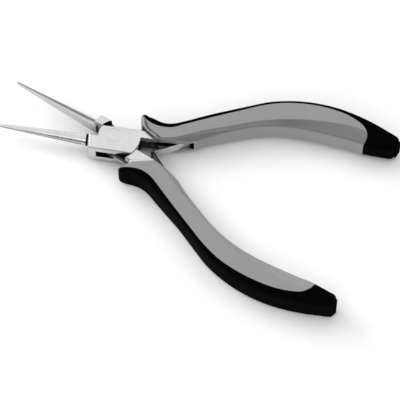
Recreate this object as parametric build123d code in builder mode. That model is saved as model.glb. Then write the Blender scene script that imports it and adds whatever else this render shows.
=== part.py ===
"""Round nose pliers for jewellery work: two forged halves in a box joint, leaf springs and two-part grips.

Each half is drawn in its own closed frame. There x runs from the pivot axis towards the grip end, y points
to the side its handle is on, and z is the pivot axis, with zero at mid thickness. The two frames are
half turns of each other about the long axis, and each is swung open by half the resting angle.
"""
from build123d import *
from math import cos, hypot, radians, sin, sqrt
import os

# Overall sizes, millimetres and degrees
jaw_reach = 42.3
handle_reach = 101.6
joint_thickness = 9.0
grip_thickness = 12.2
resting_opening = 24.0

# Jaws: half round backs with flat inner faces that meet on the closing line
jaw_meeting_gap = 0.06
jaw_root_thickness = 5.2
jaw_root_depth = 3.6
jaw_tip_thickness = 1.2
jaw_tip_depth = 0.9
jaw_root_overlap = 1.2
jaw_block_front = -9.0
jaw_block_relief = 0.6
jaw_block_corner = 0.8
joint_inner_relief = 0.8

# Box joint
cheek_front_radius = 5.5
cheek_rear_radius = 9.6
cheek_handle_side = 3.5
cheek_jaw_side = -6.3
shoulder_clearance = 0.28
tenon_thickness = 3.6
tenon_side_clearance = 0.03
tenon_handle_side = 5.3
tenon_jaw_side = -4.4
tenon_nose_radius = 5.45
tenon_nose_top = 1.5
tenon_root = -7.0
tenon_jaw_corner = -3.8
tenon_waist_front = (-0.5, -3.6)
tenon_waist_rear = (4.0, -2.6)
tenon_tail = (11.5, 3.5)
tenon_tail_corner = 9.2
tenon_heel = -3.3
slot_end = -5.6
slot_jaw_side = -8.0
slot_handle_side = 6.0
slot_shoulder = (1.8, 3.8)
slot_knee = (4.2, 2.95)
slot_throat = (10.05, -0.1)
slot_mouth = 11.5
pin_radius = 2.5
pin_running_clearance = 0.03
joint_edge_chamfer = 0.35
joint_edge_reach = 10.3

# Tangs inside the grips
tang_inner_side = 0.45
tang_core_thickness = 6.4
tang_core_front = 10.4
tang_core_end = 0.55
tang_core_end_round = 0.025
tang_lug_width = 0.4

# Grips: the mouth is a slanted line from the inner corner to the guard
mouth_inner = (16.8, 0.55)
mouth_outer = (11.0, 4.6)
guard_foot = (9.9, 5.7)
guard_front = (8.7, 8.2)
guard_tip = (10.9, 10.1)
grip_edge_chamfer = 1.5
mouth_rim_width = 1.3
mouth_crease_width = 0.5
mouth_crease_depth = 0.35
mouth_crease_overrun = 1.8
pad_region_margin = 4.0
pad_line_start = (7.6, 11.0)
pad_line_end_height = 7.0
pad_region_top = 27.0
grip_straight_start = 28.0

# Leaf springs, each rolled round a cross pin in its tang
spring_width = 4.4
spring_thickness = 0.5
spring_pin_centre = (26.0, 4.3)
spring_pin_radius = 0.72
spring_pin_clearance = 0.03
spring_leaving_slope = 34.0
spring_arriving_slope = 22.2
spring_curl_centre = (14.9, -2.25)
spring_curl_radius = 0.45
spring_curl_turn = 115.0
recess_width = 4.9
recess_front = 12.6
recess_front_floor = 1.95
recess_back = 28.5
recess_open_side = -1.5
recess_clearance = 0.3

half_opening = radians(resting_opening / 2)
mid_height = joint_thickness / 2
shoulder_front_radius = cheek_front_radius + shoulder_clearance
shoulder_rear_radius = cheek_rear_radius + shoulder_clearance
spring_eye_radius = spring_pin_radius + spring_pin_clearance + spring_thickness / 2

upper_frame = Plane(
    origin=(0, 0, mid_height), x_dir=(cos(half_opening), sin(half_opening), 0), z_dir=(0, 0, 1)
)
lower_frame = Plane(
    origin=(0, 0, mid_height), x_dir=(cos(half_opening), -sin(half_opening), 0), z_dir=(0, 0, -1)
)


def on_circle(radius, y, side=1):
    """Point at height y on a circle about the pivot, on the handle side (1) or the jaw side (-1)."""
    return (side * sqrt(radius**2 - y**2), y)


def circle_middle(radius, start, end):
    """Point half way round the short arc from start to end on a circle about the pivot."""
    middle_x = start[0] + end[0]
    middle_y = start[1] + end[1]
    length = hypot(middle_x, middle_y)
    return (radius * middle_x / length, radius * middle_y / length)


def pivot_arc(radius, start, end):
    """Draw the arc about the pivot from start to end."""
    ThreePointArc(start, circle_middle(radius, start, end), end)


def along_grip(share):
    """Distance from the pivot at a share of the way down the long part of the grip."""
    return grip_straight_start + share * (handle_reach - grip_straight_start)


def on_mouth(y):
    """Point on the mouth line at height y."""
    share = (y - mouth_inner[1]) / (mouth_outer[1] - mouth_inner[1])
    return (mouth_inner[0] + share * (mouth_outer[0] - mouth_inner[0]), y)


def on_guard_foot(y):
    """Point at height y on the short line between the mouth and the foot of the guard."""
    share = (y - mouth_outer[1]) / (guard_foot[1] - mouth_outer[1])
    return (mouth_outer[0] + share * (guard_foot[0] - mouth_outer[0]), y)


def jaw_section(frame, reach, thickness, depth):
    """Sketch of the half round jaw across its length, at a reach from the pivot."""
    origin = frame.from_local_coords((-reach, -jaw_meeting_gap / 2, 0))
    across = Plane(origin=origin, x_dir=frame.z_dir, z_dir=frame.x_dir)
    with BuildSketch(across) as section:
        Ellipse(thickness / 2, depth)
        with Locations((0, depth / 2)):
            Rectangle(thickness, depth, mode=Mode.INTERSECT)
    return section.sketch


def jaw_sections(frame):
    """The two sections that the tapering jaw is lofted between, inside its block and at the tip."""
    return [
        jaw_section(frame, -jaw_block_front - jaw_root_overlap, jaw_root_thickness, jaw_root_depth),
        jaw_section(frame, jaw_reach, jaw_tip_thickness, jaw_tip_depth),
    ]


def tang_core_outline(frame):
    """Outline of the thin tang that runs on inside the grip, with the lug that holds the spring pin."""
    lug_back = recess_back + tang_lug_width
    with BuildSketch(frame) as outline:
        with BuildLine():
            upper = Spline(
                (tang_core_front, 3.4), (20.0, 5.3), (28.0, 8.0), (along_grip(0.24), 14.6),
                (along_grip(0.42), 18.8), (along_grip(tang_core_end), 19.6)
            )
            lower = Spline(
                (along_grip(tang_core_end), 15.8), (along_grip(0.42), 15.2), (along_grip(0.24), 11.4),
                (35.0, 6.9), (lug_back, 4.2)
            )
            ThreePointArc(upper @ 1, (along_grip(tang_core_end + tang_core_end_round), 17.7), lower @ 0)
            Polyline(lower @ 1, (lug_back, 2.3), (20.0, 1.9), (tang_core_front, 1.5), upper @ 0)
        make_face()
    return outline.sketch


def spring_recess_outline(frame):
    """Outline of the recess that lets the leaf spring fold into the inner side of its handle."""
    eye_reach = spring_eye_radius + spring_thickness / 2 + recess_clearance
    front = spring_pin_centre[0] - eye_reach
    floor = spring_pin_centre[1] + eye_reach
    with BuildSketch(frame) as outline:
        with BuildLine():
            Polyline(
                (recess_front, recess_open_side), (recess_front, recess_front_floor), (front, floor),
                (recess_back, floor), (recess_back, recess_open_side), close=True
            )
        make_face()
    return outline.sketch


def round_outline(frame, centre, radius):
    """Circle about a point of a half's frame, for a pin or the hole it goes in."""
    with BuildSketch(frame) as outline:
        with Locations(centre):
            Circle(radius)
    return outline.sketch


def joint_face_edges(part, frame):
    """Outer edges of the joint's flat faces, without the arcs that the other half turns against."""
    bared = []
    for edge in part.faces().filter_by(Plane.XY).edges():
        middle = frame.to_local_coords(edge.position_at(0.5))
        if edge.geom_type == GeomType.LINE and middle.X < joint_edge_reach:
            bared.append(edge)
    return bared


def make_box_half(frame):
    """Outer half: a jaw, the two cheeks of the box and the tang on the far side."""
    front_corner = on_circle(cheek_front_radius, -joint_inner_relief, -1)
    top_corner = on_circle(cheek_front_radius, cheek_handle_side, -1)
    tang_foot = on_circle(cheek_rear_radius, tang_inner_side)
    rear_corner = on_circle(cheek_rear_radius, cheek_jaw_side)
    with BuildPart() as box_half:
        with BuildSketch(frame):
            with BuildLine():
                Line((jaw_block_front, -jaw_block_relief), front_corner)
                pivot_arc(cheek_front_radius, front_corner, top_corner)
                Polyline(top_corner, on_mouth(cheek_handle_side), mouth_inner, tang_foot)
                pivot_arc(cheek_rear_radius, tang_foot, rear_corner)
                Polyline(
                    rear_corner, (jaw_block_front + jaw_block_corner, cheek_jaw_side),
                    (jaw_block_front, -jaw_block_relief)
                )
            make_face()
        extrude(amount=joint_thickness / 2, both=True)
        chamfer(joint_face_edges(box_half.part, frame), length=joint_edge_chamfer)
        extrude(tang_core_outline(frame), tang_core_thickness / 2, both=True)
        with BuildSketch(frame):
            with BuildLine():
                Polyline(
                    (slot_end, slot_jaw_side), (slot_end, slot_handle_side),
                    (slot_shoulder[0], slot_handle_side), slot_shoulder, slot_knee, slot_throat,
                    (slot_mouth, slot_jaw_side), close=True
                )
            make_face()
        extrude(amount=tenon_thickness / 2 + tenon_side_clearance, both=True, mode=Mode.SUBTRACT)
        loft(jaw_sections(frame))
        extrude(spring_recess_outline(frame), recess_width / 2, both=True, mode=Mode.SUBTRACT)
        bore = round_outline(frame, (0, 0), pin_radius)
        extrude(bore, joint_thickness / 2, both=True, mode=Mode.SUBTRACT)
        pin_hole = round_outline(frame, spring_pin_centre, spring_pin_radius)
        extrude(pin_hole, tang_core_thickness / 2, both=True, mode=Mode.SUBTRACT)
    return box_half.part


def make_tenon_half(frame):
    """Inner half: its plate passes through the box and carries the other jaw and tang."""
    block_inner = on_circle(shoulder_front_radius, -joint_inner_relief, -1)
    block_outer = on_circle(shoulder_front_radius, tenon_jaw_side, -1)
    tang_foot = on_circle(shoulder_rear_radius, tang_inner_side)
    tang_back = on_circle(shoulder_rear_radius, tenon_handle_side)
    nose = on_circle(tenon_nose_radius, tenon_nose_top, -1)
    nose_root = on_circle(tenon_nose_radius, -joint_inner_relief, -1)
    with BuildPart() as tenon_half:
        with BuildSketch(frame):
            with BuildLine():
                Line((jaw_block_front, -jaw_block_relief), block_inner)
                pivot_arc(shoulder_front_radius, block_inner, block_outer)
                Polyline(
                    block_outer, (jaw_block_front + jaw_block_corner, tenon_jaw_side),
                    (jaw_block_front, -jaw_block_relief)
                )
            make_face()
            with BuildLine():
                pivot_arc(shoulder_rear_radius, tang_foot, tang_back)
                Polyline(tang_back, on_guard_foot(tenon_handle_side), mouth_outer, mouth_inner, tang_foot)
            make_face()
        extrude(amount=joint_thickness / 2, both=True)
        chamfer(joint_face_edges(tenon_half.part, frame), length=joint_edge_chamfer)
        with BuildSketch(frame):
            with BuildLine():
                pivot_arc(tenon_nose_radius, nose, nose_root)
                Polyline(
                    nose_root, (tenon_root, -joint_inner_relief), (tenon_root, tenon_jaw_side),
                    (tenon_jaw_corner, tenon_jaw_side), tenon_waist_front, tenon_waist_rear,
                    (tang_foot[0], tang_inner_side), (tenon_tail[0], tang_inner_side), tenon_tail,
                    (tenon_tail_corner, tenon_handle_side), (tenon_heel, tenon_handle_side), nose
                )
            make_face()
        extrude(amount=tenon_thickness / 2, both=True)
        extrude(tang_core_outline(frame), tang_core_thickness / 2, both=True)
        loft(jaw_sections(frame))
        extrude(spring_recess_outline(frame), recess_width / 2, both=True, mode=Mode.SUBTRACT)
        bore = round_outline(frame, (0, 0), pin_radius + pin_running_clearance)
        extrude(bore, joint_thickness / 2, both=True, mode=Mode.SUBTRACT)
        pin_hole = round_outline(frame, spring_pin_centre, spring_pin_radius)
        extrude(pin_hole, tang_core_thickness / 2, both=True, mode=Mode.SUBTRACT)
    return tenon_half.part


def make_pin(frame, centre, radius, length):
    """Plain round pin along the pivot direction."""
    with BuildPart() as pin:
        with BuildSketch(frame):
            with Locations(centre):
                Circle(radius)
        extrude(amount=length / 2, both=True)
    return pin.part


def make_spring(frame):
    """Leaf spring: an eye round its pin, a gently bowed leaf and a curled free tip."""
    leaving = radians(spring_leaving_slope)
    arriving = radians(spring_arriving_slope)
    eye_x, eye_y = spring_pin_centre
    curl_x, curl_y = spring_curl_centre
    root = (eye_x + spring_eye_radius * sin(leaving), eye_y - spring_eye_radius * cos(leaving))
    tip_root = (curl_x + spring_curl_radius * sin(arriving), curl_y - spring_curl_radius * cos(arriving))
    curl_start = spring_arriving_slope - 90
    with BuildPart() as spring:
        with BuildSketch(frame):
            with BuildLine():
                TangentArc(root, tip_root, tangent=(-cos(leaving), -sin(leaving)))
                CenterArc(spring_curl_centre, spring_curl_radius, curl_start, -spring_curl_turn)
            trace(line_width=spring_thickness)
            with Locations(spring_pin_centre):
                Circle(spring_eye_radius + spring_thickness / 2)
                Circle(spring_pin_radius + spring_pin_clearance, mode=Mode.SUBTRACT)
        extrude(amount=spring_width / 2, both=True)
    return spring.part


def make_grip_blank(frame):
    """Whole outer shape of one grip, before it is divided into hard sleeve and soft pad."""
    with BuildPart() as blank:
        with BuildSketch(frame):
            with BuildLine():
                Spline(
                    guard_tip, (14.6, 8.9), (20.0, 8.7), (28.0, 11.5), (along_grip(0.22), 18.2),
                    (along_grip(0.46), 23.3), (along_grip(0.57), 23.7), (along_grip(0.80), 20.5),
                    (along_grip(0.935), 16.3), (handle_reach - 1.1, 14.1), (handle_reach - 0.4, 11.6),
                    (handle_reach - 2.8, 9.3), (along_grip(0.89), 9.4), (along_grip(0.65), 11.9),
                    (along_grip(0.54), 12.6), (along_grip(0.43), 12.4), (along_grip(0.22), 8.8),
                    (36.0, 5.2), (28.0, 1.75), (22.5, 0.6), mouth_inner
                )
                Polyline(mouth_inner, mouth_outer, guard_foot)
                front = Line(guard_foot, guard_front)
                TangentArc(guard_front, guard_tip, tangent=front % 1)
            make_face()
        extrude(amount=grip_thickness / 2, both=True)
        faces = blank.faces().filter_by(Plane.XY)
        chamfer(faces.edges().group_by(SortBy.LENGTH)[-1], length=grip_edge_chamfer)
    return blank.part


def make_pad_region(frame):
    """Region of the grip taken by the soft pad: the back, the tip of the guard and the end."""
    with BuildPart() as region:
        with BuildSketch(frame):
            with BuildLine():
                line = Spline(
                    pad_line_start, (10.2, 9.3), (12.6, 7.5), (16.0, 6.2), (19.6, 6.3), (28.0, 9.4),
                    (along_grip(0.24), 17.1), (along_grip(0.40), 21.2), (along_grip(0.50), 22.2),
                    (along_grip(0.60), 22.1), (along_grip(0.74), 19.5), (along_grip(0.81), 15.8),
                    (along_grip(0.83), pad_line_end_height)
                )
                far_end = handle_reach + pad_region_margin
                Polyline(
                    line @ 1, (far_end, pad_line_end_height), (far_end, pad_region_top),
                    (pad_line_start[0], pad_region_top), line @ 0
                )
            make_face()
        extrude(amount=grip_thickness, both=True)
    return region.part


def make_grip(frame, blank, pad_region, tang, spring_pin):
    """Hard sleeve: hollow for the tang, open at the mouth and along the spring recess."""
    rim_x = mouth_inner[0] - mouth_outer[0]
    rim_y = mouth_inner[1] - mouth_outer[1]
    rim_length = hypot(rim_x, rim_y)
    away = (-rim_y / rim_length * mouth_rim_width, rim_x / rim_length * mouth_rim_width)
    crease_middle = (
        (mouth_inner[0] + guard_foot[0]) / 2 + away[0], (mouth_inner[1] + guard_foot[1]) / 2 + away[1]
    )
    slant = -Vector(rim_x, rim_y).get_angle(Vector(1, 0))
    with BuildPart() as grip:
        add(blank)
        add(pad_region, mode=Mode.SUBTRACT)
        add(tang, mode=Mode.SUBTRACT)
        add(spring_pin, mode=Mode.SUBTRACT)
        extrude(spring_recess_outline(frame), recess_width / 2, both=True, mode=Mode.SUBTRACT)
        with BuildSketch(frame):
            with Locations(Location(crease_middle + (0,), (0, 0, slant))):
                Rectangle(rim_length * mouth_crease_overrun, mouth_crease_width)
        crease = extrude(amount=grip_thickness, both=True, mode=Mode.PRIVATE)
        with BuildSketch(frame):
            Rectangle(2 * handle_reach, 2 * handle_reach)
        core = extrude(amount=grip_thickness / 2 - mouth_crease_depth, both=True, mode=Mode.PRIVATE)
        add(crease - core, mode=Mode.SUBTRACT)
    return grip.part


def make_pad(blank, pad_region):
    """Soft pad over the back and the end of the grip."""
    with BuildPart() as pad:
        add(blank)
        add(pad_region, mode=Mode.INTERSECT)
    return pad.part


def save(name, part):
    """Label one finished piece and write it under its own name."""
    part.label = name
    export_step(part, f"parts/{name}.step")


os.makedirs("parts", exist_ok=True)
tangs = {"upper": make_box_half(upper_frame), "lower": make_tenon_half(lower_frame)}
save("box_half", tangs["upper"])
save("tenon_half", tangs["lower"])
save("joint_pin", make_pin(upper_frame, (0, 0), pin_radius, joint_thickness))
for side, frame in (("upper", upper_frame), ("lower", lower_frame)):
    blank = make_grip_blank(frame)
    pad_region = make_pad_region(frame)
    spring_pin = make_pin(frame, spring_pin_centre, spring_pin_radius, tang_core_thickness)
    save(f"spring_{side}", make_spring(frame))
    save(f"spring_pin_{side}", spring_pin)
    save(f"grip_{side}", make_grip(frame, blank, pad_region, tangs[side], spring_pin))
    save(f"pad_{side}", make_pad(blank, pad_region))
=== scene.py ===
"""Dressed model of round nose pliers: two forged steel halves, leaf springs and two-part moulded grips."""
import logging
from dataclasses import dataclass, field, replace
from enum import Enum
from math import cos, pi, radians, sin, sqrt
from typing import Sequence

import bmesh
import bpy
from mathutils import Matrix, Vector


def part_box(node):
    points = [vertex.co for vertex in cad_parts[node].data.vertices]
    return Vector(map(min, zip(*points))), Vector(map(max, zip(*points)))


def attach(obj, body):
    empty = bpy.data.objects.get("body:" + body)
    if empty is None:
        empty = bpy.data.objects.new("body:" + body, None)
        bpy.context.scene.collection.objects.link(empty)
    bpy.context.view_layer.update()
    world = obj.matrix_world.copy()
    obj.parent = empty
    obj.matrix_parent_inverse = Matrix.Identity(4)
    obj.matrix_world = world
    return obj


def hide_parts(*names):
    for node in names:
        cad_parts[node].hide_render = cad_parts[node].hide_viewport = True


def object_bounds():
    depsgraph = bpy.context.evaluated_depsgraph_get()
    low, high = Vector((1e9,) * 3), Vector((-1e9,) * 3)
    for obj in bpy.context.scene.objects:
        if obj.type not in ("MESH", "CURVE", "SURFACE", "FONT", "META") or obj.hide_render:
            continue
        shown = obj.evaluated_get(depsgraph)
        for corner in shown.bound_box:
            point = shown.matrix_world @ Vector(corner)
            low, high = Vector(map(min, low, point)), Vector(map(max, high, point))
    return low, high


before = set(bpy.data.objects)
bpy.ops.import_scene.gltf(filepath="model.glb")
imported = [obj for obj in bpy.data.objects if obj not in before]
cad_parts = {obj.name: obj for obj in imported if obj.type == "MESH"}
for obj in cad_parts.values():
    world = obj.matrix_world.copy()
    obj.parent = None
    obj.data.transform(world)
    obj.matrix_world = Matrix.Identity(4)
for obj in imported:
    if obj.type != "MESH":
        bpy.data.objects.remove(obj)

CAD_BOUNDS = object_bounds()
MM = 0.001
SWING = radians(12.0)  # turn of each half from the closed pliers to rest
MID_HEIGHT = (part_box("joint_pin")[0].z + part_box("joint_pin")[1].z) / 2
WELD = 4e-6  # metres
CLEANING_ROUNDS = 3
PINHOLE_SIDES = 6
SHARP_ANGLE = radians(28.0)
BEVEL_SAMPLES = 4
GAP_SAMPLES = 6

Plan = tuple[float, float]
Span = tuple[float, float]
Point = tuple[float, float, float]
Socket = bpy.types.NodeSocket
Material = bpy.types.Material
Piece = bpy.types.Object
log = logging.getLogger("pliers")


class Cut(Enum):
    """What a cutter leaves of a piece."""

    AWAY = "DIFFERENCE"
    SHARED = "INTERSECT"


class Side(Enum):
    """The two halves, named by the side their handle is on."""

    UPPER = "upper"
    LOWER = "lower"

    @property
    def turn(self) -> int:
        """Plus one for the half whose handle is at +Y, minus one for the other."""
        return 1 if self is Side.UPPER else -1

    @property
    def body(self) -> str:
        """Name of the moving body that carries this half."""
        return "outer_half" if self is Side.UPPER else "inner_half"

    @property
    def lean(self) -> float:
        """Turn about the pivot axis that lines this half's coordinates up with its length, in radians."""
        return -self.turn * SWING

    @property
    def steel(self) -> str:
        """Name of this half's forging in the frame."""
        return "box_half" if self is Side.UPPER else "tenon_half"


@dataclass(frozen=True)
class HalfFrame:
    """Closed frame of one half: x from the pivot to the grip end, y to its handle side, z the pivot axis."""

    side: Side

    def swung(self, x: float, y: float) -> Plan:
        """Turn a step along and across the closed half to where it lies in the resting pliers."""
        outward = x * sin(SWING) + y * cos(SWING)
        return x * cos(SWING) - y * sin(SWING), self.side.turn * outward

    def place(self, x: float, y: float, z: float) -> Vector:
        """Point of the resting pliers, in metres.

        Args:
            x: Distance along the closed pliers from the pivot, in millimetres.
            y: Distance towards this half's handle side, in millimetres.
            z: Height above mid thickness, seen with the handle side to the left, in millimetres.

        Returns:
            The point in the frame that all pieces share.
        """
        across, outward = self.swung(x, y)
        return Vector((across * MM, outward * MM, MID_HEIGHT + self.side.turn * z * MM))

    def direction(self, x: float, y: float) -> Vector:
        """Unit vector in the plane of the pliers, x away from the jaws and y to this half's handle side."""
        return Vector((*self.swung(x, y), 0.0)).normalized()

    @property
    def inward(self) -> Vector:
        """Unit vector from this half's handle towards the closing line."""
        return self.direction(0.0, -1.0)


# ---- shader graphs


class Graph:
    """One material's node tree, with short calls to add and join nodes."""

    def __init__(self, name: str) -> None:
        """Start a material.

        Args:
            name: Name of the material.
        """
        self.material = bpy.data.materials.new(name)
        self.material.use_nodes = True
        self.tree = self.material.node_tree
        self.tree.nodes.clear()
        self.colour: object = grey(0.0)

    def add(self, kind: str, **values: object) -> bpy.types.Node:
        """Add a node and set it up.

        Args:
            kind: Node type without its "ShaderNode" prefix.
            **values: Node properties, or inputs named with underscores for spaces.

        Returns:
            The new node.
        """
        node = self.tree.nodes.new("ShaderNode" + kind)
        for name, value in values.items():
            label = name.replace("_", " ").lower()
            match = next((socket for socket in node.inputs if socket.name.lower() == label), None)
            if match is not None and not hasattr(node, name):
                self.feed(value, match)
            else:
                setattr(node, name, value)
        return node

    def feed(self, source: object, socket: Socket) -> None:
        """Join a socket to an input, or set a plain value on it.

        Args:
            source: Socket or plain value.
            socket: Input that takes it.
        """
        if isinstance(source, Socket):
            self.tree.links.new(source, socket)
        else:
            socket.default_value = source

    def coordinates(self, turn: float = 0.0, stretch: Sequence[float] = (1, 1, 1)) -> Socket:
        """Object coordinates, turned about the pivot axis and stretched.

        Args:
            turn: Angle about Z, in radians.
            stretch: Scale along each axis after the turn.

        Returns:
            The vector output.
        """
        place = self.add("TexCoord").outputs["Object"]
        turned = self.add("Mapping", vector_type="POINT", Vector=place, Rotation=(0, 0, turn))
        return self.add("Mapping", Vector=turned.outputs[0], Scale=tuple(stretch)).outputs[0]

    def noise(self, place: Socket, scale: float, detail: int) -> Socket:
        """Smooth noise as a value from 0 to 1.

        Args:
            place: Coordinates.
            scale: Cells for each metre.
            detail: Octaves.

        Returns:
            The value output.
        """
        return self.add("TexNoise", Vector=place, Scale=scale, Detail=detail).outputs[0]

    def spread(self, value: Socket, low: float, high: float,
               start: float = 0.3, end: float = 0.7) -> Socket:
        """Map a value's working range onto low to high.

        Args:
            value: Socket to map.
            low: Result at the start of the range.
            high: Result at its end.
            start: Lowest value that matters.
            end: Highest value that matters.

        Returns:
            The mapped value output.
        """
        node = self.add("MapRange", Value=value)
        for name, number in (("From Min", start), ("From Max", end), ("To Min", low), ("To Max", high)):
            node.inputs[name].default_value = number
        return node.outputs[0]

    def blend(self, share: Socket, first: object, second: object) -> Socket:
        """Colour between two others.

        Args:
            share: How much of the second there is, 0 to 1.
            first: Colour or socket at 0.
            second: Colour or socket at 1.

        Returns:
            The colour output.
        """
        node = self.add("Mix", data_type="RGBA")
        self.feed(share, node.inputs[0])
        self.feed(first, node.inputs[6])
        self.feed(second, node.inputs[7])
        return node.outputs[2]

    def maths(self, operation: str, first: object, second: object = 0.0) -> Socket:
        """One sum on one or two values.

        Args:
            operation: Blender's name of the sum.
            first: Socket or number.
            second: Socket or number.

        Returns:
            The value output.
        """
        node = self.add("Math", operation=operation)
        self.feed(first, node.inputs[0])
        self.feed(second, node.inputs[1])
        return node.outputs[0]

    def edges(self, radius: float, gain: float) -> tuple[Socket, Socket]:
        """Rounded normal and a mask of the edges it rounds.

        Args:
            radius: Edge radius, in metres.
            gain: How quickly the mask rises to one.

        Returns:
            The rounded normal and the mask.
        """
        rounded = self.add("Bevel", samples=BEVEL_SAMPLES, Radius=radius).outputs[0]
        true = self.add("NewGeometry").outputs["Normal"]
        dot = self.add("VectorMath", operation="DOT_PRODUCT")
        self.feed(rounded, dot.inputs[0])
        self.feed(true, dot.inputs[1])
        away = self.maths("SUBTRACT", 1.0, dot.outputs["Value"])
        mask = self.add("Clamp", Value=self.maths("MULTIPLY", away, gain))
        return rounded, mask.outputs[0]

    def bump(self, height: Socket, distance: float, strength: float, normal: Socket) -> Socket:
        """Bumped normal.

        Args:
            height: Height from 0 to 1.
            distance: Depth in metres of a height of one.
            strength: Share of the effect.
            normal: Normal to bump.

        Returns:
            The normal output.
        """
        return self.add("Bump", Strength=strength, Distance=distance, Height=height, Normal=normal).outputs[0]

    def ground(self, mask: Socket, low: float, high: float) -> None:
        """Start the colour, neutral between the level where the mask is zero and where it is one."""
        self.colour = self.blend(mask, grey(low), grey(high))

    def tint(self, level: float, mask: Socket, share: float = 1.0) -> None:
        """Lay a neutral colour over what is there.

        Args:
            level: Level of the neutral colour.
            mask: Where it lies.
            share: How much of it there is where the mask is one.
        """
        if share < 1.0:
            mask = self.maths("MULTIPLY", mask, share)
        self.colour = self.blend(mask, self.colour, grey(level))

    def paint_gap_shade(self, level: float, reach: float, span: Span) -> None:
        """Paint shade into narrow gaps, where the ambient occlusion node finds close neighbours.

        Args:
            level: Level where the surface is fully shut in.
            reach: How far a neighbour may be and still count, in metres.
            span: Openness that counts as fully shut in, and as free.
        """
        # painted shade: surfaces shut in by neighbours are darkened towards near black
        openness = self.add("AmbientOcclusion", samples=GAP_SAMPLES, Distance=reach).outputs["AO"]
        self.colour = self.blend(self.spread(openness, 0.0, 1.0, *span), grey(level), self.colour)

    def facing(self, direction: Vector, start: float, end: float) -> Socket:
        """Mask of the surfaces that face one way in the piece's own frame.

        Args:
            direction: Unit vector that they face.
            start: Cosine at which the mask leaves zero.
            end: Cosine at which it reaches one.

        Returns:
            The mask output.
        """
        dot = self.add("VectorMath", operation="DOT_PRODUCT")
        self.feed(self.add("TexCoord").outputs["Normal"], dot.inputs[0])
        dot.inputs[1].default_value = tuple(direction)
        return self.spread(dot.outputs["Value"], 0.0, 1.0, start, end)

    def finish(self, **values: object) -> Material:
        """Close the tree with its surface shader, in the colour so far.

        Args:
            **values: Other inputs of the shader, named with underscores for spaces.

        Returns:
            The finished material.
        """
        shader = self.add("BsdfPrincipled", Base_Color=self.colour, **values)
        output = self.add("OutputMaterial")
        self.feed(shader.outputs[0], output.inputs[0])
        return self.material


def grey(level: float) -> tuple[float, float, float, float]:
    """Neutral colour of one level."""
    return (level, level, level, 1.0)


@dataclass(frozen=True)
class PaintedShadeBox:
    """Box of one half whose surfaces get painted shade, in millimetres, z above mid thickness."""

    low: Point
    high: Point

    def mask(self, graph: Graph, side: Side) -> Socket:
        """Mask that is one inside the box.

        Args:
            graph: Graph of the material.
            side: Half that the box belongs to.

        Returns:
            The mask output.
        """
        near, far = sorted((side.turn * self.low[1], side.turn * self.high[1]))
        spans = ((self.low[0], self.high[0], 0.0), (near, far, 0.0), (self.low[2], self.high[2], MID_HEIGHT))
        split = graph.add("SeparateXYZ", Vector=graph.coordinates(side.lean))
        mask = 1.0
        for axis, (bottom, top, rise) in zip(split.outputs, spans):
            mask = graph.maths("MULTIPLY", mask, graph.maths("GREATER_THAN", axis, rise + bottom * MM))
            mask = graph.maths("MULTIPLY", mask, graph.maths("LESS_THAN", axis, rise + top * MM))
        return mask


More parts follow.
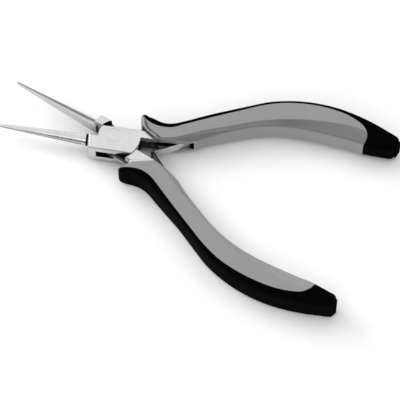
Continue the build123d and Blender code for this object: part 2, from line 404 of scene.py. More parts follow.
@dataclass(frozen=True)
class GroundSteel:
    """Tool steel ground along the tool: fine scratches, clouding, edges lighter as wear and as a painted
    highlight, and painted shade on the jaw's inner face, in recesses, in narrow gaps and, where set, on faces
    turned upwards.
    """

    name: str
    body_level: float = 0.60
    cloud_level: float = 0.54
    cloud_pitch: float = 260.0
    scratch_pitch: float = 5200.0
    scratch_stretch: float = 0.035
    scratch_range: Span = (0.55, 0.75)
    scratch_share: float = 0.35
    scratch_depth: float = 2.0e-6
    scratch_strength: float = 0.7
    pit_pitch: float = 4200.0
    pit_strength: float = 0.5
    bright_mark_and_highlight_level: float = 0.74
    edge_radius: float = 0.00018
    edge_gain: float = 5.0
    edge_wear_and_highlight_share: float = 0.6
    jaw_start: float = 0.0102
    jaw_fade: float = 0.0005
    jaw_face_shade_level: float = 0.23
    jaw_face_shade: float = 0.9
    jaw_face_range: Span = (0.93, 0.98)
    top_face_shade_level: float = 0.02
    top_face_shade_share: float = 0.0
    top_face_shade_range: Span = (0.8, 0.95)
    painted_shade_box_level: float = 0.008
    painted_shade_boxes: Sequence[PaintedShadeBox] = ()
    gap_shade_level: float = 0.004
    gap_reach: float = 0.007
    gap_range: Span = (0.22, 0.55)
    roughness: Span = (0.20, 0.34)
    cloud_roughness: Span = (-0.02, 0.04)

    def paint_jaw_face_shade(self, graph: Graph, side: Side, place: Socket, scratch: Socket) -> None:
        """Paint shade on the jaw's flat inner face: a darker copy of the steel on the faces turned inwards.

        Args:
            graph: Graph of the material.
            side: Half that it is made for.
            place: Coordinates that aren't turned.
            scratch: Grinding marks.
        """
        along = graph.add("SeparateXYZ", Vector=place).outputs[0]
        in_jaw = graph.spread(along, 1.0, 0.0, -self.jaw_start - self.jaw_fade, -self.jaw_start)
        flat = graph.facing(HalfFrame(side).inward, *self.jaw_face_range)
        # painted shade: the jaw's inner face is made darker than the rest of the steel
        shaded = grey(self.jaw_face_shade * self.jaw_face_shade_level)
        face = graph.blend(graph.spread(scratch, 0, 1), shaded, grey(self.jaw_face_shade_level))
        graph.colour = graph.blend(graph.maths("MULTIPLY", in_jaw, flat), graph.colour, face)

    def paint_recess_shade(self, graph: Graph, side: Side) -> None:
        """Paint shade on faces turned upwards (as far as its share is set), in the boxes round recesses and
        in narrow gaps.

        Args:
            graph: Graph of the material.
            side: Half that it is made for.
        """
        # painted shade on faces turned upwards; only the spring strip has a share of it
        upright = graph.add("SeparateXYZ", Vector=graph.add("TexCoord").outputs["Normal"]).outputs[2]
        graph.tint(self.top_face_shade_level, graph.spread(upright, 0.0, self.top_face_shade_share, *self.top_face_shade_range))
        # painted shade: near black inside boxes round the joint's slot, the throat and the jaw root
        for box in self.painted_shade_boxes:
            graph.tint(self.painted_shade_box_level, box.mask(graph, side))
        # painted shade in narrow gaps
        graph.paint_gap_shade(self.gap_shade_level, self.gap_reach, self.gap_range)

    def make(self, side: Side) -> Material:
        """Build the material.

        Args:
            side: Half that it is made for.

        Returns:
            The material.
        """
        graph = Graph(self.name)
        plain = graph.coordinates()
        ground = graph.coordinates(side.lean, (self.scratch_stretch, 1, 1))
        scratch = graph.noise(ground, self.scratch_pitch, detail=4)
        cloud = graph.noise(plain, self.cloud_pitch, detail=6)
        pits = graph.noise(plain, self.pit_pitch, detail=2)
        rounded, edge_mask = graph.edges(self.edge_radius, self.edge_gain)
        graph.ground(graph.spread(cloud, 0, 1), self.cloud_level, self.body_level)
        graph.tint(self.bright_mark_and_highlight_level, graph.spread(scratch, 0.0, self.scratch_share, *self.scratch_range))
        # edges lighter: partly wear, partly a painted highlight
        graph.tint(self.bright_mark_and_highlight_level, edge_mask, self.edge_wear_and_highlight_share)
        self.paint_jaw_face_shade(graph, side, plain, scratch)
        self.paint_recess_shade(graph, side)
        fine, slow = graph.spread(scratch, *self.roughness), graph.spread(cloud, *self.cloud_roughness)
        pitted = graph.bump(pits, self.scratch_depth, self.pit_strength, rounded)
        normal = graph.bump(scratch, self.scratch_depth, self.scratch_strength, pitted)
        return graph.finish(Metallic=1.0, Roughness=graph.maths("ADD", fine, slow), Normal=normal)


@dataclass(frozen=True)
class MouldedPlastic:
    """Matt moulded plastic: spark-eroded grain, slight flow clouding, edges rubbed a little lighter, painted
    light and shade on the facet and inner side, and painted shade on the mouth wall and in narrow gaps.
    """

    name: str
    level: float = 0.27
    dark_level: float = 0.248
    flow_pitch: float = 90.0
    flow_stretch: float = 0.35
    grain_pitch: float = 4300.0
    grain_depth: float = 1.6e-5
    grain_strength: float = 0.5
    speck_range: Span = (0.35, 0.65)
    speck_share: float = 0.12
    worn_level: float = 0.36
    wear_pitch: float = 700.0
    wear_shares: Span = (0.15, 0.7)
    edge_radius: float = 0.0003
    edge_gain: float = 3.0
    facet_light_shade_level: float = 0.0
    facet_share: float = 0.36
    facet_range: Span = (0.15, 0.4)
    facet_limit: Span = (-0.9, -0.7)
    side_light_level: float = 0.40
    side_share: float = 0.5
    side_range: Span = (0.72, 0.92)
    mouth_share: float = 0.9
    mouth_range: Span = (0.95, 0.98)
    gap_shade_level: float = 0.004
    gap_reach: float = 0.0035
    gap_range: Span = (0.10, 0.40)
    roughness: Span = (0.46, 0.60)
    flow_roughness: Span = (-0.03, 0.03)
    specular: float = 0.4

    def paint_face_light_and_shade(self, graph: Graph, half: HalfFrame, mouth: Vector) -> None:
        """Paint light and shade by facing: a tone on the slanted facet, painted light on the inner side and a
        painted shadow on the wall of the mouth.

        Args:
            graph: Graph of the material.
            half: Frame of the half that it is made for.
            mouth: Unit vector out of the grip's mouth.
        """
        # painted shade on the slanted facet; the lower grip's higher level makes it painted light there
        turned_in = graph.facing(half.inward, *self.facet_range)
        slanted = graph.maths("MULTIPLY", turned_in, graph.facing(-half.inward, *self.facet_limit))
        graph.tint(self.facet_light_shade_level, slanted, self.facet_share)
        # painted light on the inner side
        graph.tint(self.side_light_level, graph.facing(half.inward, *self.side_range), self.side_share)
        # painted shadow on the wall of the mouth, beside the forging
        graph.tint(self.gap_shade_level, graph.facing(mouth, *self.mouth_range), self.mouth_share)

    def make(self, half: HalfFrame, mouth: Vector) -> Material:
        """Build the material.

        Args:
            half: Frame of the half that it is made for.
            mouth: Unit vector out of the grip's mouth.

        Returns:
            The material.
        """
        graph = Graph(self.name)
        plain = graph.coordinates()
        along = graph.coordinates(half.side.lean, (self.flow_stretch, 1, 1))
        flow = graph.noise(along, self.flow_pitch, detail=5)
        grain = graph.noise(plain, self.grain_pitch, detail=2)
        rubbed = graph.spread(graph.noise(plain, self.wear_pitch, detail=4), *self.wear_shares)
        rounded, edge_mask = graph.edges(self.edge_radius, self.edge_gain)
        graph.ground(graph.spread(flow, 0, 1), self.dark_level, self.level)
        graph.tint(self.worn_level, graph.spread(grain, 0, self.speck_share, *self.speck_range))
        graph.tint(self.worn_level, graph.maths("MULTIPLY", edge_mask, rubbed))
        self.paint_face_light_and_shade(graph, half, mouth)
        # painted shade in narrow gaps
        graph.paint_gap_shade(self.gap_shade_level, self.gap_reach, self.gap_range)
        fine, slow = graph.spread(grain, *self.roughness), graph.spread(flow, *self.flow_roughness)
        normal = graph.bump(grain, self.grain_depth, self.grain_strength, rounded)
        rough = graph.maths("ADD", fine, slow)
        return graph.finish(Roughness=rough, Normal=normal, Specular_IOR_Level=self.specular)


@dataclass(frozen=True)
class SoftRubber:
    """Black soft-touch rubber: fine closed grain, lighter dusty patches, and edges lighter as wear and as a
    painted highlight.
    """

    name: str
    level: float = 0.0009
    dusty_level: float = 0.0022
    dust_pitch: float = 240.0
    dust_stretch: float = 0.5
    dust_range: Span = (0.45, 0.8)
    grain_pitch: float = 5200.0
    grain_depth: float = 1.4e-5
    grain_strength: float = 0.45
    bright_mark_and_highlight_level: float = 0.022
    edge_wear_and_highlight_share: float = 0.7
    edge_radius: float = 0.0004
    edge_gain: float = 3.0
    roughness: Span = (0.55, 0.72)
    dust_roughness: Span = (-0.06, 0.05)
    specular: float = 0.008

    def make(self, side: Side) -> Material:
        """Build the material.

        Args:
            side: Half that it is made for.

        Returns:
            The material.
        """
        graph = Graph(self.name)
        along = graph.coordinates(side.lean, (self.dust_stretch, 1, 1))
        dust = graph.noise(along, self.dust_pitch, detail=5)
        grain = graph.noise(graph.coordinates(), self.grain_pitch, detail=2)
        rounded, edge_mask = graph.edges(self.edge_radius, self.edge_gain)
        graph.ground(graph.spread(dust, 0, 1, *self.dust_range), self.level, self.dusty_level)
        # edges lighter: partly wear, partly a painted highlight
        graph.tint(self.bright_mark_and_highlight_level, edge_mask, self.edge_wear_and_highlight_share)
        fine, slow = graph.spread(grain, *self.roughness), graph.spread(dust, *self.dust_roughness)
        normal = graph.bump(grain, self.grain_depth, self.grain_strength, rounded)
        rough = graph.maths("ADD", fine, slow)
        return graph.finish(Roughness=rough, Normal=normal, Specular_IOR_Level=self.specular)


@dataclass(frozen=True)
class PaleBoard:
    """Matt white board under the tool, with the faintest mottling."""

    name: str = "pale_board"
    level: float = 0.96
    shade_level: float = 0.945
    mottle_pitch: float = 14.0
    roughness: float = 0.9
    specular: float = 0.1

    def make(self) -> Material:
        """Build the material.

        Returns:
            The material.
        """
        graph = Graph(self.name)
        mottle = graph.noise(graph.coordinates(), self.mottle_pitch, detail=4)
        graph.ground(graph.spread(mottle, 0, 1), self.shade_level, self.level)
        return graph.finish(Roughness=self.roughness, Specular_IOR_Level=self.specular)


# ---- mesh tools


def catmull(points: Sequence[Sequence[float]], share: float) -> list[float]:
    """Point of a smooth line through evenly numbered points.

    Args:
        points: Points of any length.
        share: Place along the line, 0 at the first point and 1 at the last.

    Returns:
        The interpolated point.
    """
    place = min(max(share, 0.0), 1.0) * (len(points) - 1)
    index = min(int(place), len(points) - 2)
    t = place - index
    a, b, c, d = (points[min(max(index + k, 0), len(points) - 1)] for k in (-1, 0, 1, 2))
    return [
        0.5 * (2 * q + (r - p) * t + (2 * p - 5 * q + 4 * r - s) * t**2 + (3 * q - p - 3 * r + s) * t**3)
        for p, q, r, s in zip(a, b, c, d)
    ]


def smoothstep(value: float, start: float, end: float) -> float:
    """Smooth rise from 0 at the start to 1 at the end."""
    t = min(max((value - start) / (end - start), 0.0), 1.0)
    return t * t * (3 - 2 * t)


def mesh_object(name: str, body: bmesh.types.BMesh) -> Piece:
    """Turn a bmesh into an object of the scene.

    Args:
        name: Name of the object.
        body: Mesh to use; it is freed.

    Returns:
        The object.
    """
    bmesh.ops.recalc_face_normals(body, faces=body.faces)
    mesh = bpy.data.meshes.new(name)
    body.to_mesh(mesh)
    body.free()
    made = bpy.data.objects.new(name, mesh)
    bpy.context.scene.collection.objects.link(made)
    return made


def prism(name: str, half: HalfFrame, outline: Sequence[Plan], half_height: float) -> Piece:
    """Straight-sided block over an outline, centred on mid thickness.

    Args:
        name: Name of the object.
        half: Frame of the half that it belongs to.
        outline: Corners of the block seen along the pivot axis, in millimetres.
        half_height: Half its height, in millimetres.

    Returns:
        The block.
    """
    body = bmesh.new()
    rings = [[body.verts.new(half.place(x, y, z)) for x, y in outline] for z in (-half_height, half_height)]
    body.faces.new(rings[0][::-1])
    body.faces.new(rings[1])
    for k in range(len(outline)):
        after = (k + 1) % len(outline)
        body.faces.new((rings[0][k], rings[0][after], rings[1][after], rings[1][k]))
    return mesh_object(name, body)


def carve(piece: Piece, cutter: Piece, cut: Cut = Cut.AWAY) -> None:
    """Cut a piece with another, which is then removed.

    Args:
        piece: Mesh that is changed.
        cutter: Mesh that cuts it.
        cut: What is left of the piece.
    """
    modifier = piece.modifiers.new("cut", "BOOLEAN")
    modifier.operation, modifier.solver, modifier.object = cut.value, "EXACT", cutter
    settle(piece)
    bpy.data.objects.remove(cutter)


def settle(piece: Piece) -> None:
    """Replace a piece's mesh by what its modifiers make of it.

    Args:
        piece: Mesh that is changed.
    """
    bpy.context.view_layer.update()
    graph = bpy.context.evaluated_depsgraph_get()
    made = bpy.data.meshes.new_from_object(piece.evaluated_get(graph))
    piece.modifiers.clear()
    piece.data = made


def drop_doubled(body: bmesh.types.BMesh) -> None:
    """Drop pairs of faces that lie back to back on the same corners.

    Args:
        body: Mesh that is changed.
    """
    groups: dict[frozenset, list[bmesh.types.BMFace]] = {}
    for face in body.faces:
        groups.setdefault(frozenset(face.verts), []).append(face)
    doubled = [face for group in groups.values() if len(group) > 1 for face in group]
    bmesh.ops.delete(body, geom=doubled, context="FACES")


def tidy(piece: Piece) -> None:
    """Weld stray points, drop empty faces, close pinholes and shade smoothly between crisp edges.

    Args:
        piece: Mesh that is cleaned.
    """
    body = bmesh.new()
    body.from_mesh(piece.data)
    bmesh.ops.remove_doubles(body, verts=body.verts, dist=WELD)
    for _ in range(CLEANING_ROUNDS):
        bmesh.ops.dissolve_degenerate(body, edges=body.edges, dist=WELD)
        bmesh.ops.triangulate(body, faces=body.faces)
    drop_doubled(body)
    open_edges = [edge for edge in body.edges if edge.is_boundary]
    bmesh.ops.holes_fill(body, edges=open_edges, sides=PINHOLE_SIDES)
    bmesh.ops.recalc_face_normals(body, faces=body.faces)
    body.to_mesh(piece.data)
    body.free()
    piece.data.shade_smooth()
    piece.data.set_sharp_from_angle(angle=SHARP_ANGLE)


def dress(piece: Piece, material: Material) -> None:
    """Give a whole piece one material."""
    piece.data.materials.clear()
    piece.data.materials.append(material)


# ---- the grips


UPPER_MOUTH_SHIFT = (-0.66, -0.95)
LOWER_MOUTH_SHIFT = (0.82, 1.17)
LEAF_POCKET = ((12.6, -2.5), (12.6, 1.95), (24.45, 5.85), (28.55, 5.85), (28.55, -2.5))
LEAF_POCKET_HALF_WIDTH = 2.45
UPPER_TANG = ((9.0, 3.55), (11.6, 3.55), (11.0, 4.6), (16.8, 0.5), (9.0, 0.3))
UPPER_FRONT = (
    (14.9, 0.42), (10.3, 3.7), (9.3, 4.9), (8.45, 7.6), (8.3, 8.3), (8.5, 8.9), (8.95, 9.3), (9.6, 9.5),
    (10.3, 9.5), (11.0, 9.25),
)
LOWER_FRONT = (
    (18.5, 1.0), (11.9, 5.75), (10.9, 6.7), (9.6, 8.3), (8.75, 9.3), (8.45, 9.9), (8.6, 10.4), (9.2, 10.65),
    (10.2, 10.6), (10.9, 10.4),
)
UPPER_SEAM = (
    (6.6, 10.5), (8.3, 9.3), (9.8, 7.9), (12.0, 6.5), (15.4, 5.5), (20.0, 5.6), (24.6, 7.55), (30.0, 10.05),
    (36.5, 13.0), (43.0, 15.85), (50.0, 18.95), (57.5, 21.25), (65.0, 22.15), (72.0, 22.05), (78.5, 20.95),
    (83.5, 19.15), (87.2, 16.8), (89.1, 13.8), (88.7, 11.0), (86.4, 7.0),
)
LOWER_SEAM = (
    (6.0, 11.6), (8.6, 10.5), (10.9, 9.25), (13.4, 7.85), (16.4, 6.95), (20.4, 7.3), (25.0, 9.05),
    (30.2, 11.25), (36.6, 13.85), (43.0, 16.4), (50.0, 19.1), (57.5, 21.1), (65.0, 21.65), (72.0, 21.3),
    (78.8, 20.2), (84.4, 18.4), (88.5, 16.2), (90.4, 13.6), (90.8, 11.0), (91.0, 7.0),
)


@dataclass(frozen=True)
class Station:
    """One line across a grip, from its inner side to its back, with the section there, in millimetres."""

    inner: Plan
    outer: Plan
    shoulder: float
    facet: float
    lip: float
    brow: float

    def numbers(self) -> list[float]:
        """All its sizes in one row."""
        return [*self.inner, *self.outer, self.shoulder, self.facet, self.lip, self.brow]


@dataclass(frozen=True)
class Section:
    """Sizes of one section across a grip, in millimetres."""

    shoulder: float
    facet: float
    lip: float
    brow: float
    height: float


@dataclass
class GripShape:
    """Outer shape of a grip: a flat front and back, a faceted inner side, a square-set back and a guard."""

    front: Sequence[Plan]
    half_height: float = 6.1
    stations: Sequence[Station] = (
        Station((16.8, 0.75), (10.9, 10.1), 1.9, 0.35, 0.2, 0.5),
        Station((19.2, 0.75), (13.2, 9.15), 1.7, 0.4, 0.3, 0.6),
        Station((21.2, 0.85), (16.6, 8.45), 1.6, 0.5, 0.35, 0.9),
        Station((24.0, 1.0), (20.4, 8.85), 1.6, 0.5, 1.0, 1.2),
        Station((28.4, 2.13), (25.3, 10.5), 1.7, 0.5, 1.75, 1.5),
        Station((34.0, 4.85), (31.2, 12.8), 1.8, 0.6, 1.3, 1.6),
        Station((41.0, 7.75), (38.3, 15.7), 1.9, 0.8, 0.65, 1.6),
        Station((48.0, 10.35), (45.8, 18.85), 1.9, 0.9, 0.6, 1.6),
        Station((55.0, 11.95), (53.3, 21.75), 1.8, 1.1, 0.85, 1.6),
        Station((62.0, 12.6), (61.2, 23.3), 1.7, 1.5, 1.15, 1.6),
        Station((69.0, 12.45), (69.0, 23.7), 1.7, 2.1, 1.5, 1.6),
        Station((76.0, 11.75), (77.0, 23.0), 1.7, 2.9, 1.6, 1.6),
        Station((83.0, 10.9), (84.8, 21.1), 1.8, 3.5, 1.5, 1.6),
        Station((89.0, 9.95), (91.6, 18.65), 1.9, 2.9, 1.4, 1.6),
        Station((94.0, 9.75), (96.9, 16.2), 1.9, 2.1, 1.2, 1.6),
        Station((97.0, 9.75), (99.5, 15.0), 1.9, 1.6, 1.0, 1.6),
    )
    front_fade: float = 0.2
    rows: int = 190
    row_crowding: float = 1.35
    row_lean: float = 0.72
    wall_steps: int = 8
    face_steps: int = 5
    shoulder_steps: int = 14
    mouth_round: float = 0.3
    guard_round: float = 1.7
    guard_round_range: Span = (0.45, 0.75)
    waist_shift: float = 0.0
    waist_middle: float = 20.0
    waist_reach: float = 19.0
    waist_start: float = 0.06
    end_bulge: float = 2.2
    end_bevel_height: float = 1.5
    end_insets: Span = (2.9, 2.0)
    end_steps: int = 6
    back_power: float = 4.0
    bulge_power: float = 8.0
    corner_reach: float = 0.16
    corner_limit: float = 0.45
    rim_width: float = 0.85
    crease_width: float = 0.9
    crease_depth: float = 0.7
    hollow_depth: float = 0.5
    crease_recovery: float = 11.0
    dip_power: int = 6
    past_hollow: float = 99.0
    crease_fade: Span = (0.58, 0.82)

    def front_line(self, share: float) -> Vector:
        """Point of the mouth and guard line.

        Args:
            share: Place along it, 0 at the inner side and 1 at the guard's end.

        Returns:
            The point in the half's frame, in millimetres.
        """
        corners = [Vector(corner) for corner in self.front]
        lengths = [(after - corner).length for corner, after in zip(corners, corners[1:])]
        left = share * sum(lengths)
        for corner, after, length in zip(corners, corners[1:], lengths):
            if left <= length:
                return corner.lerp(after, left / length)
            left -= length
        return corners[-1]

    def waist(self, reach: float) -> float:
        """Outward shift of the back line at a distance from the pivot."""
        away = abs(reach - self.waist_middle) / self.waist_reach
        return self.waist_shift * (1 - smoothstep(away, 0.0, 1.0))

    def front_height(self, share: float, behind: float) -> float:
        """Share of the full height that is left near the rounded front edge.

        Args:
            share: Place from the inner side to the back.
            behind: Distance behind the front line.

        Returns:
            The share of the height.
        """
        growth = smoothstep(share, *self.guard_round_range)
        radius = self.mouth_round + (self.guard_round - self.mouth_round) * growth
        short = radius - min(behind, radius)
        return 1 - (radius - sqrt(radius**2 - short**2)) / self.half_height

    def outline(self, width: float, sizes: Section) -> list[Plan]:
        """Top half of a section, from the inner side to the back.

        Args:
            width: Distance from the inner side to the back.
            sizes: The section's other sizes.

        Returns:
            Pairs of distance from the inner side and height.
        """
        shelf = sizes.height - sizes.brow
        points = []
        for k in range(self.wall_steps):
            z = shelf * sin(pi / 2 * k / self.wall_steps)
            points.append((sizes.lip * (z / shelf) ** self.bulge_power, z))
        foot = (sizes.lip, shelf)
        edge = (sizes.lip + sizes.facet, sizes.height)
        top_end = (width - sizes.shoulder, sizes.height)
        points += self.rounded(points[-1], foot, edge)
        points += self.rounded(foot, edge, top_end)
        reach = top_end[0] - edge[0]
        points += [(edge[0] + reach * k / self.face_steps, sizes.height) for k in range(1, self.face_steps)]
        for k in range(self.shoulder_steps + 1):
            turn = pi / 2 * k / self.shoulder_steps
            drop = max(cos(turn), 0.0) ** (2 / self.back_power) if k < self.shoulder_steps else 0.0
            points.append((
                top_end[0] + sizes.shoulder * sin(turn) ** (2 / self.back_power), sizes.height * drop
            ))
        return points

    def rounded(self, before: Plan, corner: Plan, after: Plan) -> list[Plan]:
        """Three points that round a corner a little.

        Args:
            before: Point that the line comes from.
            corner: The corner.
            after: Point that the line goes to.

        Returns:
            A point on each side of the corner, and one just inside it.
        """
        at = Vector(corner)
        sides = []
        for end in (before, after):
            gap = Vector(end) - at
            sides.append(at + gap * min(self.corner_reach / gap.length, self.corner_limit))
        middle = (sides[0] + sides[1]) / 4 + at / 2
        return [tuple(sides[0]), tuple(middle), tuple(sides[1])]

    def dip(self, behind: float, share: float) -> float:
        """How far the face lies below its full height, in the crease and hollow behind the mouth rim.

        Args:
            behind: Distance behind the mouth.
            share: Place from the inner side to the back.

        Returns:
            Depth of the dip.
        """
        foot = self.rim_width + self.crease_width
        fall = smoothstep(behind, self.rim_width, self.rim_width + self.crease_width / 2)
        groove = 1 - smoothstep(behind, self.rim_width + self.crease_width / 2, foot)
        rise = 1 - smoothstep(behind, foot, self.rim_width + self.crease_recovery)
        fade = 1 - smoothstep(share, *self.crease_fade)
        return fall * fade * (self.crease_depth * groove + self.hollow_depth * rise)

    def row(self, half: HalfFrame, ends: tuple[Vector, Vector], sizes: Section, bend: float,
            behind: float) -> list[Vector]:
        """Points of one closed ring round the grip.

        Args:
            half: Frame of the half that it belongs to.
            ends: Inner and outer end of the line across.
            sizes: Sizes of the section.
            bend: How much the line follows the mouth and guard.
            behind: Distance behind the mouth.

        Returns:
            The ring's points, over the top and back along the bottom.
        """
        inner, outer = ends
        width = (outer - inner).length
        front_inner, front_outer = Vector(self.front[0]), Vector(self.front[-1])
        top = []
        for across, z in self.outline(width, sizes):
            share = across / width
            plan = inner.lerp(outer, share)
            front = self.front_line(share)
            if bend > 0:
                plan += bend * (front - front_inner.lerp(front_outer, share))
            z -= self.dip(behind, share) * (z / self.half_height) ** self.dip_power
            z *= self.front_height(share, (plan - front).length)
            top.append((plan.x, plan.y, z))
        under = [(x, y, -z) for x, y, z in reversed(top[1:-1])]
        return [half.place(*point) for point in top + under]

    def rings(self, half: HalfFrame) -> list[list[Vector]]:
        """All rings of a grip, from the mouth to the end.

        Args:
            half: Frame of the half that it belongs to.

        Returns:
            The rings.
        """
        table = [station.numbers() for station in self.stations]
        table[0][0:4] = [*self.front[0], *self.front[-1]]
        mouth = Vector(table[0][0:2])
        made = []
        for k in range(self.rows + 1):
            share = (k / self.rows) ** self.row_crowding
            numbers = catmull(table, share)
            waist = self.waist(numbers[2]) * smoothstep(share, 0.0, self.waist_start)
            ends = (Vector(numbers[0:2]), Vector(numbers[2:4]) + Vector((0.0, waist)))
            bend = 1 - smoothstep(share, 0.0, self.front_fade)
            behind = (ends[0] - mouth).length * self.row_lean
            made.append(self.row(half, ends, Section(*numbers[4:8], self.half_height), bend, behind))
        inner, outer = Vector(table[-1][0:2]), Vector(table[-1][2:4])
        along = (outer - inner).normalized()
        out = Vector((along.y, -along.x))
        for k in range(1, self.end_steps + 1):
            turn = pi / 2 * k / self.end_steps
            shrink = 1 - cos(turn)
            ends = (
                inner + along * self.end_insets[0] * shrink + out * self.end_bulge * sin(turn),
                outer - along * self.end_insets[1] * shrink + out * self.end_bulge * sin(turn),
            )
            height = self.half_height - self.end_bevel_height * shrink
            made.append(self.row(half, ends, Section(*table[-1][4:8], height), 0.0, self.past_hollow))
        return made

    def build(self, name: str, half: HalfFrame) -> Piece:
        """Make the whole grip as one closed mesh.

        Args:
            name: Name of the object.
            half: Frame of the half that it belongs to.

        Returns:
            The mesh object.
        """
        body = bmesh.new()
        rings = [[body.verts.new(point) for point in ring] for ring in self.rings(half)]
        count = len(rings[0])
        for ring, following in zip(rings, rings[1:]):
            for k in range(count):
                after = (k + 1) % count
                body.faces.new((ring[k], ring[after], following[after], following[k]))
        for ring in (rings[0], rings[-1]):
            self.cap(body, ring)
        return mesh_object(name, body)

    @staticmethod
    def cap(body: bmesh.types.BMesh, ring: list[bmesh.types.BMVert]) -> None:
        """Close one end with strips between the ring's top and bottom.

        Args:
            body: Mesh of the grip.
            ring: Points of the end.
        """
        half = len(ring) // 2
        top = ring[: half + 1]
        under = [ring[0]] + ring[: half - 1 : -1][:half]
        for k in range(half):
            corners = [top[k], top[k + 1], under[k + 1], under[k]]
            unique = list(dict.fromkeys(corners))
            if len(unique) > 2:
                body.faces.new(unique)


def leaf_pocket(half: HalfFrame) -> Piece:
    """Room for the leaf spring of one half to swing in."""
    return prism("leaf_pocket", half, LEAF_POCKET, LEAF_POCKET_HALF_WIDTH)


@dataclass
class Grip:
    """Two-part grip of one half: a hard sleeve and a soft pad over its back, guard and end."""

    side: Side
    shape: GripShape
    seam: Sequence[Plan]
    mouth_shift: Plan
    hard: MouldedPlastic
    soft: SoftRubber = SoftRubber("soft_rubber")
    tang_outline: Sequence[Plan] = ()
    seam_samples: int = 260
    seam_gap: float = 0.05
    region_corners: Sequence[Plan] = ((110.0, 5.0), (110.0, 30.0), (4.0, 30.0))
    region_half_height: float = 9.0
    mouth_facing: Plan = (-0.65, -0.76)
    well_ends: tuple[Plan, Plan] = ((20.0, -1.69), (10.3, 5.09))
    well_depth: float = 0.46
    well_reach: float = 6.0
    well_half_height: float = 4.72
    tang_half_height: float = 4.53

    def region(self, half: HalfFrame, grow: float) -> Piece:
        """Block over everything that the pad covers.

        Args:
            half: Frame of this half.
            grow: How far its boundary moves towards the sleeve.

        Returns:
            The block.
        """
        line = [Vector(catmull(self.seam, k / self.seam_samples)) for k in range(self.seam_samples + 1)]
        moved = []
        for k, point in enumerate(line):
            along = (line[min(k + 1, len(line) - 1)] - line[max(k - 1, 0)]).normalized()
            moved.append((point.x + along.y * grow, point.y - along.x * grow))
        outline = moved + list(self.region_corners)
        return prism("pad_region", half, outline, self.region_half_height)

    def well(self, half: HalfFrame) -> Piece:
        """Shallow well in the mouth, a little larger than the forging that stands in it.

        Args:
            half: Frame of this half.

        Returns:
            The block that cuts it.
        """
        inner, outer = (Vector(end) + Vector(self.mouth_shift) for end in self.well_ends)
        along = (outer - inner).normalized()
        inward = Vector((along.y, -along.x))
        back, front = inward * self.well_depth, inward * -self.well_reach
        outline = [tuple(corner) for corner in (inner + front, inner + back, outer + back, outer + front)]
        return prism("well", half, outline, self.well_half_height)

    def build(self) -> list[Piece]:
        """Make both pieces, dress them and set them on their body.

        Returns:
            The sleeve and the pad.
        """
        half = HalfFrame(self.side)
        name = self.side.value
        sleeve = self.shape.build(f"sleeve_{name}", half)
        pad = self.shape.build(f"soft_back_{name}", half)
        carve(pad, self.region(half, 0.0), Cut.SHARED)
        carve(sleeve, self.region(half, self.seam_gap))
        carve(sleeve, leaf_pocket(half))
        carve(sleeve, self.well(half))
        if self.tang_outline:
            carve(sleeve, prism("tang", half, self.tang_outline, self.tang_half_height))
        plastic = replace(self.hard, name=f"{self.hard.name}_{name}").make(
            half, half.direction(*self.mouth_facing)
        )
        rubber = replace(self.soft, name=f"{self.soft.name}_{name}").make(self.side)
        for piece, node, material, slot in (
            (sleeve, f"grip_{name}", plastic, "hard_grip"), (pad, f"pad_{name}", rubber, "soft_pad")
        ):
            tidy(piece)
            dress(piece, material)
            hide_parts(node)
            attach(piece, self.side.body)
        return [sleeve, pad]


# ---- steel pieces


@dataclass
class Metalwork:
    """Finishes of the steel pieces that keep their engineered shape."""

    forging: GroundSteel = GroundSteel("ground_steel")
    # the spring strip's faces turned upwards get painted shade
    spring: GroundSteel = GroundSteel(
        "spring_strip", body_level=0.66, cloud_level=0.60, bright_mark_and_highlight_level=0.8, top_face_shade_share=1.0,
        roughness=(0.18, 0.28), scratch_pitch=7000.0, edge_radius=0.0001
    )
    # boxes of painted shade: the joint's slot, the throat between the tangs and the root of one jaw
    painted_shade_boxes: dict[Side, Sequence[PaintedShadeBox]] = field(default_factory=lambda: {
        Side.UPPER: (
            PaintedShadeBox((-5.65, -9.0, -1.9), (11.4, 3.3, 1.9)),
            PaintedShadeBox((9.7, -1.0, -3.1), (17.0, 0.7, 1.5)),
            PaintedShadeBox((-9.9, -9.0, -4.4), (-9.02, 9.0, 4.4)),
        ),
        Side.LOWER: (
            PaintedShadeBox((-5.6, -9.0, -0.5), (9.4, 9.0, 1.9)),
            PaintedShadeBox((9.7, -1.0, -4.2), (17.0, 0.7, 4.4)),
        ),
    })

    def dress_all(self) -> list[str]:
        """Dress every steel node.

        Returns:
            Names of the nodes.
        """
        done = []
        for side in Side:
            name = side.value
            forged = replace(self.forging, name=f"{self.forging.name}_{name}", painted_shade_boxes=self.painted_shade_boxes[side])
            steel = forged.make(side)
            strip = replace(self.spring, name=f"{self.spring.name}_{name}").make(side)
            chosen = {side.steel: steel, f"spring_{name}": strip, f"spring_pin_{name}": steel}
            if side is Side.UPPER:
                chosen["joint_pin"] = steel
            for node, material in chosen.items():
                dress(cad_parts[node], material)
                done.append(node)
        return done


@dataclass
class TangCollar:
    """Last stretch of the lower tang, between the forging's shoulder and the mouth of the grip."""

    outline: Sequence[Plan] = (
        (11.0, 4.6), (16.8, 0.55), (17.4, 0.72), (18.55, 1.15), (18.3, 1.32), (11.95, 5.72), (10.9, 6.7),
        (10.3, 5.3),
    )
    half_height: float = 4.5

    def build(self, steel: Material) -> Piece:
        """Make the collar and set it on its body.

        Args:
            steel: Finish of the forging.

        Returns:
            The collar.
        """
        half = HalfFrame(Side.LOWER)
        piece = prism("tang_collar_lower", half, self.outline, self.half_height)
        carve(piece, leaf_pocket(half))
        tidy(piece)
        dress(piece, steel)
        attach(piece, Side.LOWER.body)
        return piece


# ---- studio


@dataclass(frozen=True)
class SoftBox:
    """One soft light with a rectangular face, in metres and watts."""

    name: str
    place: Point
    width: float
    depth: float
    power: float


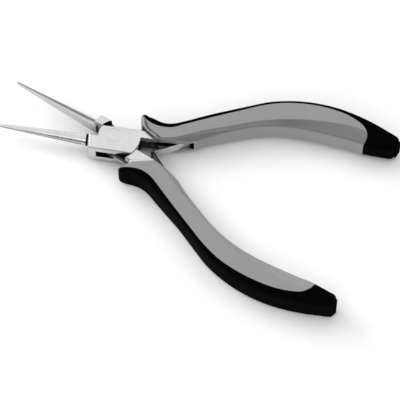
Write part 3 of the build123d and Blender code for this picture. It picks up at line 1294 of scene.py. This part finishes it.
@dataclass
class Studio:
    """Pale floor, soft lights, graded surroundings and the camera."""

    target: Point = (0.0371, -0.0111, 0.0045)
    azimuth: float = 21.0
    elevation: float = 64.0
    distance: float = 0.939
    lens: float = 239.0
    sensor: float = 36.0
    clip: Span = (0.05, 20.0)
    floor_size: float = 6.0
    far_level: float = 1.25
    near_level: float = 1.1
    low_level: float = 0.14
    facing_range: Span = (-0.45, 0.35)
    low_range: Span = (0.34, 0.84)
    lights: Sequence[SoftBox] = (
        SoftBox("key", (-1.0, 0.18, 0.6), 0.8, 0.8, 8.5),
        SoftBox("strip", (0.10, -0.75, 0.68), 1.1, 0.16, 1.2),
    )

    def floor(self) -> None:
        """Lay the board that the tool lies on."""
        body = bmesh.new()
        bmesh.ops.create_grid(body, x_segments=2, y_segments=2, size=self.floor_size / 2)
        board = mesh_object("floor", body)
        board.location.z = CAD_BOUNDS[0].z
        dress(board, PaleBoard().make())

    def light(self, box: SoftBox) -> None:
        """Hang a soft light that points at the tool.

        Args:
            box: Its name, place, size and power.
        """
        lamp = bpy.data.lights.new(box.name, "AREA")
        lamp.shape, lamp.size, lamp.size_y, lamp.energy = "RECTANGLE", box.width, box.depth, box.power
        made = bpy.data.objects.new(box.name, lamp)
        bpy.context.scene.collection.objects.link(made)
        made.location = box.place
        made.rotation_mode = "QUATERNION"
        made.rotation_quaternion = (Vector(box.place) - Vector(self.target)).to_track_quat("Z", "Y")

    def world(self) -> None:
        """Surroundings that are bright above, a little dimmer in front of the tool and dark low down."""
        world = bpy.data.worlds.new("studio")
        bpy.context.scene.world = world
        world.use_nodes = True
        nodes, links = world.node_tree.nodes, world.node_tree.links
        split = nodes.new("ShaderNodeSeparateXYZ")
        links.new(nodes.new("ShaderNodeTexCoord").outputs["Generated"], split.inputs[0])
        product = nodes.new("ShaderNodeMath")
        product.operation = "MULTIPLY"
        ramps = (
            (split.outputs[1], self.facing_range, (self.near_level, self.far_level)),
            (split.outputs[2], self.low_range, (self.low_level, 1.0)),
        )
        for socket, (source, span, levels) in zip(product.inputs, ramps):
            ramp = nodes.new("ShaderNodeMapRange")
            ramp.interpolation_type = "SMOOTHSTEP"
            links.new(source, ramp.inputs["Value"])
            for name, number in zip(("From Min", "From Max", "To Min", "To Max"), (*span, *levels)):
                ramp.inputs[name].default_value = number
            links.new(ramp.outputs[0], socket)
        background = nodes["Background"]
        background.inputs["Color"].default_value = grey(1.0)
        links.new(product.outputs[0], background.inputs["Strength"])

    def camera(self) -> None:
        """Set up the camera, which looks down on the tool from its front right."""
        turn, tilt = radians(self.azimuth), radians(self.elevation)
        back = Vector((sin(turn) * cos(tilt), -cos(turn) * cos(tilt), sin(tilt)))
        data = bpy.data.cameras.new("camera")
        data.lens, data.sensor_width = self.lens, self.sensor
        data.clip_start, data.clip_end = self.clip
        made = bpy.data.objects.new("camera", data)
        bpy.context.scene.collection.objects.link(made)
        made.location = Vector(self.target) + back * self.distance
        made.rotation_mode = "QUATERNION"
        made.rotation_quaternion = back.to_track_quat("Z", "Y")
        bpy.context.scene.camera = made

    def build(self) -> None:
        """Set up everything round the tool."""
        self.floor()
        self.world()
        for box in self.lights:
            self.light(box)
        self.camera()
        bpy.context.scene.view_settings.view_transform = "Standard"


def main() -> None:
    """Build the pliers and the studio, and report each piece."""
    logging.basicConfig(level=logging.INFO, format="%(message)s")
    grips = (
        Grip(
            Side.UPPER,
            GripShape(
                UPPER_FRONT, waist_shift=-1.35, waist_middle=16.0, waist_reach=20.0, waist_start=0.04,
                rim_width=1.25
            ),
            UPPER_SEAM, UPPER_MOUTH_SHIFT, MouldedPlastic("hard_plastic"), tang_outline=UPPER_TANG
        ),
        Grip(
            Side.LOWER,
            GripShape(
                LOWER_FRONT, waist_shift=0.75, waist_middle=24.0, waist_reach=16.0, guard_round=2.6,
                end_bulge=2.5, end_bevel_height=3.0, crease_depth=0.0, hollow_depth=0.2
            ),
            LOWER_SEAM, LOWER_MOUTH_SHIFT, MouldedPlastic("hard_plastic", facet_light_shade_level=0.42)
        ),
    )
    for grip in grips:
        for piece in grip.build():
            log.info("%s: %d faces", piece.name, len(piece.data.polygons))
    for node in Metalwork().dress_all():
        log.info("%s: dressed", node)
    collar = TangCollar().build(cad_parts[Side.LOWER.steel].data.materials[0])
    log.info("%s: %d faces", collar.name, len(collar.data.polygons))
    Studio().build()


if __name__ == "__main__":
    main()
